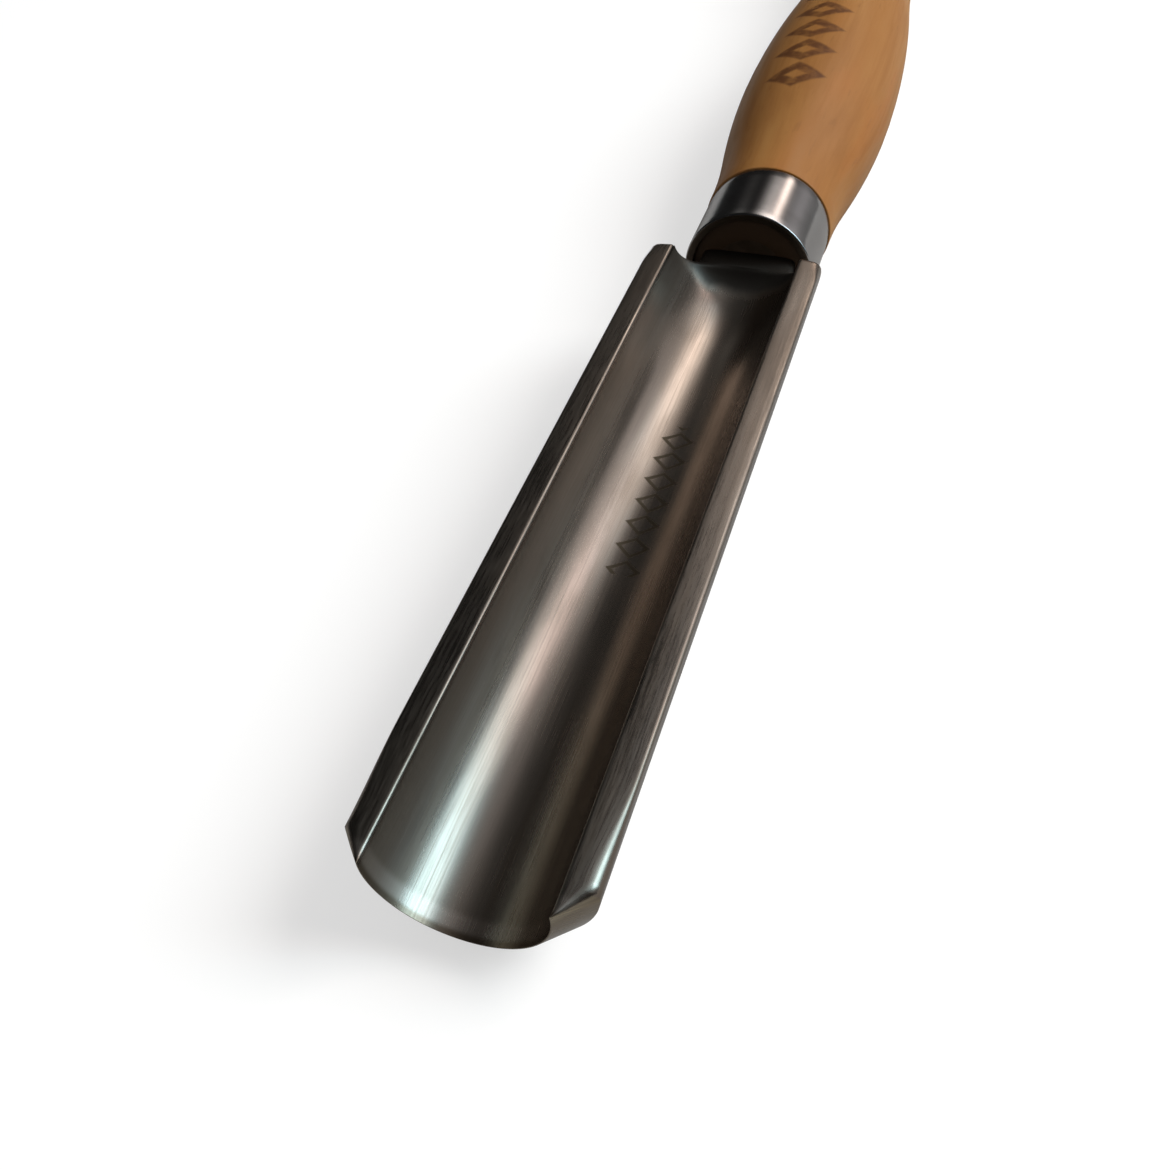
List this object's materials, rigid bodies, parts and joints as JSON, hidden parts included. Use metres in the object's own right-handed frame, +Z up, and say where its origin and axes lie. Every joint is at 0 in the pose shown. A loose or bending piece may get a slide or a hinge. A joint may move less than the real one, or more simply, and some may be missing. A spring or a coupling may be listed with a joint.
{
  "type": "roughing gouge",
  "caption": "Hand gouge with a deep U-shaped steel channel blade ground to an outside bevel, a plain steel ferrule and a long turned wooden handle.",
  "frame": {"origin": "centre of the flat on the end of the handle, on the handle's axis", "axes": "+Y out of the butt along the handle's axis, so the blade lies towards -Y; +Z up out of the blade's hollow; +X across the blade"},
  "size_m": [0.0342, 0.4447, 0.0342],
  "materials": {
    "blade_steel": "fine lengthwise ground marks in a satin polish, honed edge, dark forged neck",
    "ferrule_steel": "fine turned marks round the ring, satin, rounded lip",
    "handle_wood": "close-grained pale hardwood, grain along the handle, thin satin varnish, a burnt row of small lozenges",
    "bedding_resin": "hardened amber resin, hidden inside the handle"
  },
  "bodies": {
    "root": {"blade": "blade_steel", "ferrule": "ferrule_steel", "handle": "handle_wood", "tang_bedding": "bedding_resin"}
  },
  "joints": []
}
